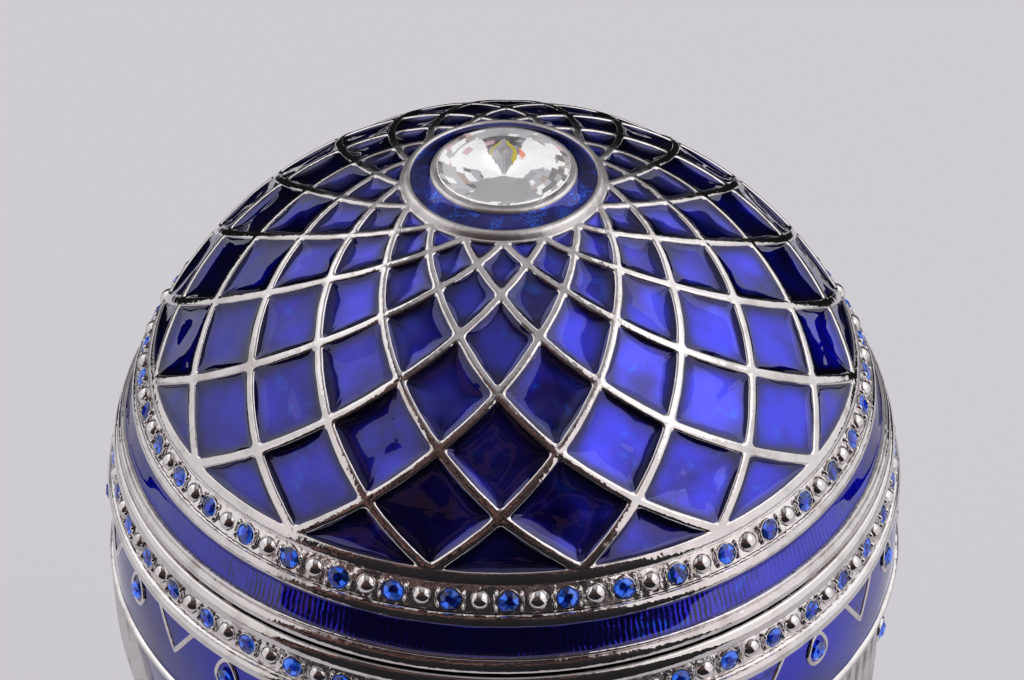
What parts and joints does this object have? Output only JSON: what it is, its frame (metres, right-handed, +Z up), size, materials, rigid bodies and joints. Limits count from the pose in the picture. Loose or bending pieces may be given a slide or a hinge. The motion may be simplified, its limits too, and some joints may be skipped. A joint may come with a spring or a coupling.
{
  "type": "jewelled egg box",
  "caption": "Footed egg box with a lift-off latticed enamel dome, a clear crystal on top, rows of blue stones and beads, and fluted columns on its round body.",
  "frame": {"origin": "centre of the underside of the stand", "axes": "+Z up through the crystal, -Y is the front seen in the picture, +X is its right"},
  "size_m": [0.0998, 0.0998, 0.1364],
  "materials": {
    "polished_silver": "polished silver plate on cast metal",
    "blue_enamel": "glossy translucent enamel",
    "blue_stone": "faceted, foil-backed",
    "clear_crystal": "faceted, clear"
  },
  "bodies": {
    "root": {"lid": "polished_silver", "egg_body": "polished_silver", "stand": "polished_silver", "crystal": "clear_crystal", "drop_stone_01": "blue_stone", "drop_stone_02": "blue_stone", "drop_stone_03": "blue_stone", "drop_stone_04": "blue_stone", "drop_stone_05": "blue_stone", "drop_stone_06": "blue_stone", "drop_stone_07": "blue_stone", "drop_stone_08": "blue_stone", "drop_stone_09": "blue_stone", "drop_stone_10": "blue_stone", "drop_stone_11": "blue_stone", "drop_stone_12": "blue_stone", "drop_stone_13": "blue_stone", "drop_stone_14": "blue_stone", "drop_stone_15": "blue_stone", "drop_stone_16": "blue_stone", "panel_stone_1": "blue_stone", "panel_stone_2": "blue_stone", "panel_stone_3": "blue_stone", "panel_stone_4": "blue_stone", "panel_stone_5": "blue_stone", "panel_stone_6": "blue_stone", "panel_stone_7": "blue_stone", "panel_stone_8": "blue_stone"}
  },
  "joints": []
}
